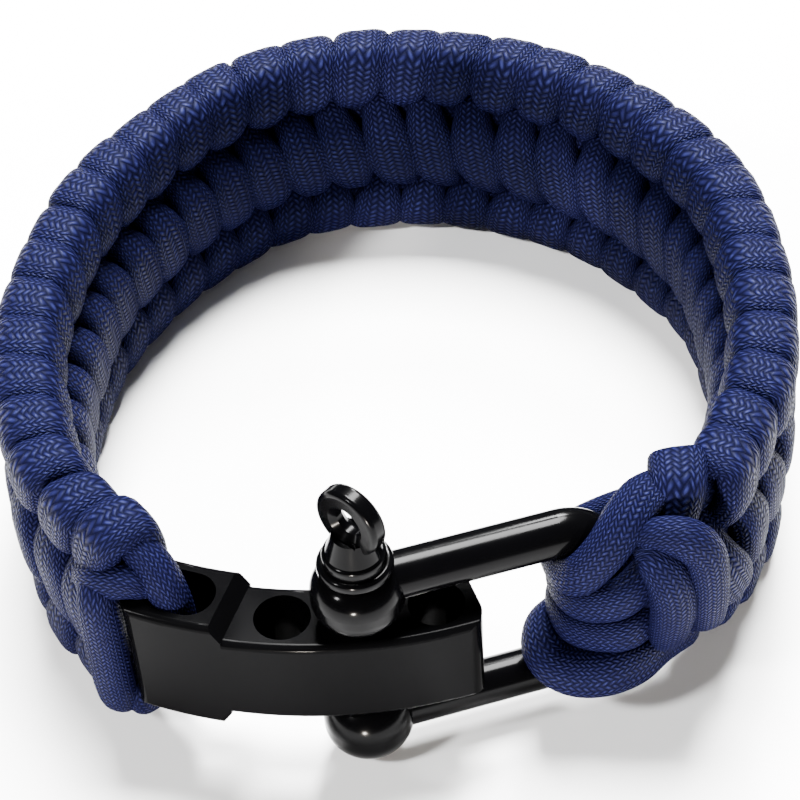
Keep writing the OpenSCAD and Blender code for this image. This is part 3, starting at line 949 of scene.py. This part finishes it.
LOWER_BOW_CORD = EndCord("bow_cord_lower", "bow_strand_lower", Side.BOW, (0, 0, 1), [
    [9.0, 0.0, -2.0, 1.2, 1.8], [5.6, -0.9, -2.0, 1.4, 2.2], [2.8, -3.1, -1.5, 1.4, 2.2],
    [0.6, -4.1, -1.1, 1.3, 1.95], [-1.6, -3.5, -1.2, 1.1, 1.7], [-3.1, -2.0, -1.4, 1.0, 1.6],
    [-3.4, 0.0, -1.45, 0.95, 1.45], [-2.9, 1.9, -1.5, 1.0, 1.45], [-1.4, 3.2, -1.6, 1.1, 1.5],
    [0.9, 3.6, -1.9, 1.2, 1.6], [4.2, 2.8, -2.2, 1.2, 1.6], [9.0, 1.6, -2.4, 1.2, 1.5]])

BOTTOM_BOW_CORD = EndCord("bow_cord_bottom", "bow_strand_bottom", Side.BOW, (0, 0, 1), [
    [9.0, -0.6, -7.0, 1.4, 1.8], [5.2, -2.0, -6.6, 1.6, 2.1], [2.4, -3.7, -5.9, 1.7, 2.4],
    [-0.6, -4.5, -5.3, 1.7, 2.5], [-3.0, -4.0, -5.1, 1.8, 2.4], [-4.6, -2.8, -4.7, 2.0, 2.1],
    [-5.0, -1.1, -4.1, 2.1, 1.8], [-4.5, 0.8, -3.9, 1.6, 1.5], [-3.2, 2.3, -4.3, 1.1, 1.5],
    [-1.2, 3.4, -4.9, 1.1, 1.6], [1.2, 3.6, -5.5, 1.2, 1.7], [4.2, 2.8, -6.2, 1.2, 1.7],
    [9.0, 1.6, -6.6, 1.2, 1.6]])

BOW_COLLAR_CORD = EndCord("working_cord_collar", "woven_band", Side.BOW, (0, -1, 0), [
    [2.7, -2.8, 7.4, 1.3, 1.1], [3.1, -4.4, 7.4, 1.6, 1.2], [4.0, -5.3, 5.7, 1.9, 1.3],
    [4.5, -5.5, 3.6, 2.0, 1.35], [4.7, -5.3, 1.2, 2.0, 1.35], [4.8, -4.5, -2.0, 1.8, 1.3],
    [5.2, -3.0, -5.0, 1.5, 1.2]])

BOW_SHOULDER_CORD = EndCord("working_cord_shoulder", "woven_band", Side.BOW, (0, -1, 0), [
    [2.6, -2.2, 7.8, 1.2, 1.1], [3.6, -3.6, 9.3, 1.6, 1.3], [5.4, -4.8, 9.5, 1.8, 1.4],
    [6.9, -5.4, 8.0, 1.8, 1.4], [7.5, -5.5, 5.2, 1.75, 1.4], [7.9, -5.1, 1.4, 1.7, 1.35],
    [8.5, -3.6, -3.2, 1.6, 1.3]])

END_CORDS = (INNER_EYE_CORD, OUTER_EYE_CORD, EDGE_CORD, TOP_BOW_CORD, UPPER_BOW_CORD,
             LOWER_BOW_CORD, BOTTOM_BOW_CORD, BOW_COLLAR_CORD, BOW_SHOULDER_CORD)


# ---------------------------------------------------------------- metal


@dataclass
class Clasp:
    """Finishes of the adjuster, the bow and the pin, which keep their CAD shapes."""

    bar: MetalFinish = MetalFinish(
        "adjuster_black", coat=(0.0006, 0.0006, 0.0007), roughness=0.14, grain=0.02, shine=0.009)
    rod: MetalFinish = MetalFinish(
        "shackle_black", coat=(0.0004, 0.0004, 0.0005), roughness=0.15, grain=0.02, shine=0.033)

    def dress(self) -> None:
        """Puts the black coat on each metal node."""
        bar, rod = self.bar.material(), self.rod.material()
        for node, mat in (("adjuster", bar), ("shackle_bow", rod), ("shackle_pin", rod)):
            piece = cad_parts[node]
            for i in range(len(piece.data.materials)):
                piece.data.materials[i] = mat
            log.info("%s: dressed with %s", node, mat.name)


# ---------------------------------------------------------------- studio


@dataclass(frozen=True)
class Lamp:
    """A square soft light that faces the bracelet, in metres and watts."""

    name: str
    at: Point
    size: float
    power: float
    tint: Rgb = WHITE

    def build(self, target: Point) -> None:
        """Makes the light.

        Args:
            target: the place that it faces.
        """
        data = bpy.data.lights.new(self.name, "AREA")
        data.size, data.energy, data.color = self.size, self.power, self.tint
        lamp = bpy.data.objects.new(self.name, data)
        lamp.location = self.at
        way = Vector(target) - Vector(self.at)
        lamp.rotation_euler = way.to_track_quat("-Z", "Y").to_euler()
        bpy.context.scene.collection.objects.link(lamp)


@dataclass
class Studio:
    """A pale floor, soft light and the camera at the photograph's angle.

    The camera's elevation and roll are in degrees, its distance and target in millimetres,
    and its focal length and centre in pixels. The rest is in metres.
    """

    elevation: float = 44.23
    distance: float = 191.9
    focal_px: float = 2078.0
    centre_px: Pair = (455.0, 399.8)
    roll: float = -2.24
    target: Point = (4.96, -5.81, 12.0)
    frame_px: float = 800.0
    sensor: float = 36.0  # millimetres
    clip: Pair = (0.005, 20.0)
    floor_lines: int = 81
    floor_half: float = 4.0
    floor_flat: float = 1.0
    floor_rise: float = 0.08
    floor_drop: float = 0.0002
    floor_tints: Tuple[Rgb, Rgb] = ((0.96, 0.96, 0.965), (0.975, 0.975, 0.975))
    floor_noise: float = 30.0
    floor_rough: float = 0.9
    floor_shine: float = 0.1
    lit: Point = (0.0, 0.0, 0.012)  # what the lights face
    lamps: Tuple[Lamp, ...] = (
        Lamp("top", at=(0.05, 0.35, 0.9), size=0.42, power=124.0),
        Lamp("left", at=(-0.55, -0.35, 0.6), size=0.1, power=12.0),
        Lamp("back", at=(0.12, 0.75, 0.65), size=0.2, power=44.0),
        Lamp("front", at=(-0.12, -0.8, 0.03), size=0.05, power=34.0, tint=(1.0, 0.92, 0.82)))
    sky: float = 0.14

    def camera(self) -> None:
        """Places the camera in front of and above the clasp, with the photograph's framing."""
        e, r = math.radians(self.elevation), math.radians(self.roll)
        back = Vector((0, -math.cos(e), math.sin(e)))
        right, up = Vector((1, 0, 0)), Vector((0, math.sin(e), math.cos(e)))
        x = right * math.cos(r) + up * math.sin(r)
        y = up * math.cos(r) - right * math.sin(r)
        data = bpy.data.cameras.new("view")
        data.sensor_width = self.sensor
        data.lens = self.focal_px / self.frame_px * self.sensor
        data.shift_x = (self.frame_px / 2 - self.centre_px[0]) / self.frame_px
        data.shift_y = (self.centre_px[1] - self.frame_px / 2) / self.frame_px
        data.clip_start, data.clip_end = self.clip
        cam = bpy.data.objects.new("view", data)
        place = (Vector(self.target) + back * self.distance) * MM
        turn = Matrix((x, y, back)).transposed().to_4x4()
        cam.matrix_world = Matrix.Translation(place) @ turn
        bpy.context.scene.collection.objects.link(cam)
        bpy.context.scene.camera = cam
        log.info("camera: %.1f mm lens", data.lens)

    def floor(self) -> None:
        """A wide pale sheet just under the bracelet, almost flat, rising far away.

        Its height is minus floor_drop near the middle, and floor_rise times the square of the
        distance past floor_flat more than that further out.
        """
        n = self.floor_lines
        ticks = np.linspace(-self.floor_half, self.floor_half, n)
        x, y = np.meshgrid(ticks, ticks, indexing="ij")
        far = np.clip(np.hypot(x, y) - self.floor_flat, 0, None)
        z = self.floor_rise * far ** 2 - self.floor_drop
        verts = np.stack([x, y, z], -1).reshape(-1, 3)
        i, k = np.meshgrid(np.arange(n - 1), np.arange(n - 1), indexing="ij")
        a = (i * n + k).ravel()
        mesh = bpy.data.meshes.new("floor")
        mesh.from_pydata(verts, [], np.stack([a, a + n, a + n + 1, a + 1], -1).tolist())
        mesh.polygons.foreach_set("use_smooth", np.ones(len(mesh.polygons), bool))
        mat, tree, bsdf = new_material("pale_floor")
        tint = tree.blend(tree.noise(tree.coords("Object"), self.floor_noise), *self.floor_tints)
        tree.link(tint, bsdf.inputs["Base Color"])
        bsdf.inputs["Roughness"].default_value = self.floor_rough
        bsdf.inputs["Specular IOR Level"].default_value = self.floor_shine
        mesh.materials.append(mat)
        sheet = bpy.data.objects.new("floor", mesh)
        bpy.context.scene.collection.objects.link(sheet)

    def build(self) -> None:
        """Makes the camera, the floor, the lights and a white sky."""
        self.camera()
        self.floor()
        for lamp in self.lamps:
            lamp.build(self.lit)
        world = bpy.data.worlds.new("white_room")
        world.use_nodes = True
        sky = world.node_tree.nodes["Background"]
        sky.inputs["Color"].default_value = (*WHITE, 1)
        sky.inputs["Strength"].default_value = self.sky
        bpy.context.scene.world = world


def main() -> None:
    """Builds the bracelet's pieces in order."""
    logging.basicConfig(level=logging.INFO, format="%(name)s: %(message)s")
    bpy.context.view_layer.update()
    lay = Layout()
    log.info("band: %.1f mm long, %d rows", lay.length, lay.rows)
    cloth = CordFinish().material(braid_group())
    made = WovenBand(lay).build(cloth)
    for cord in END_CORDS:
        made += cord.build(lay, cloth)
    Clasp().dress()
    Studio().build()
    log.info("%d new pieces", len(made))
    bpy.context.view_layer.update()


if __name__ == "__main__":
    main()
